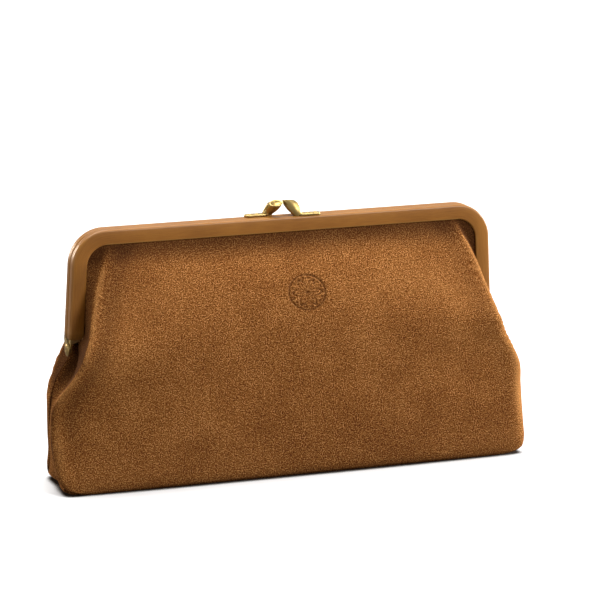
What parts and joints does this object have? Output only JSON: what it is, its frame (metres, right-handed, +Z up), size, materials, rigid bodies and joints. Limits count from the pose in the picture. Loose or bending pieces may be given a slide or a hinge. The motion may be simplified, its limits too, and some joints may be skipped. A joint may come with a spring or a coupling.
{
  "type": "clutch purse",
  "caption": "Framed clutch purse: a gusseted suede pouch on a hinged, leather-covered frame with a crossing kiss-lock clasp.",
  "frame": {"origin": "centre of the base, at the surface that the purse stands on", "axes": "+X along the frame to the right seen from the front, +Y towards the back, +Z up"},
  "size_m": [0.284, 0.054, 0.1524],
  "materials": {
    "suede": "brushed suede nap",
    "tan_leather": "smooth, satin",
    "brass": "polished pale gold",
    "lining": "plain cotton weave",
    "paper_cord": "twisted paper",
    "board": "pressed fibre board"
  },
  "bodies": {
    "pouch": {"gusset": "suede", "gusset_lining": "lining", "front_panel_lower": "suede", "back_panel_lower": "suede", "front_lining_lower": "lining", "back_lining_lower": "lining", "base_stiffener": "board", "inner_pocket": "lining"},
    "front_half": {"front_frame": "brass", "front_frame_cover": "tan_leather", "front_clasp": "brass", "front_channel_cord": "paper_cord", "front_panel_upper": "suede", "front_lining_upper": "lining"},
    "back_half": {"back_frame": "brass", "back_frame_cover": "tan_leather", "back_clasp": "brass", "back_channel_cord": "paper_cord", "back_panel_upper": "suede", "back_lining_upper": "lining", "left_hinge_rivet": "brass", "right_hinge_rivet": "brass"}
  },
  "joints": [
    {"name": "front_opening", "type": "hinge", "parent": "pouch", "child": "front_half", "pos_m": [0, 0, 0.0764], "axis": [1, 0, 0], "range_deg": [0, 45]},
    {"name": "back_opening", "type": "hinge", "parent": "pouch", "child": "back_half", "pos_m": [0, 0, 0.0764], "axis": [1, 0, 0], "range_deg": [-45, 0]}
  ],
  "couplings": [
    {"joint": "back_opening", "follows": "front_opening", "ratio": -1}
  ]
}
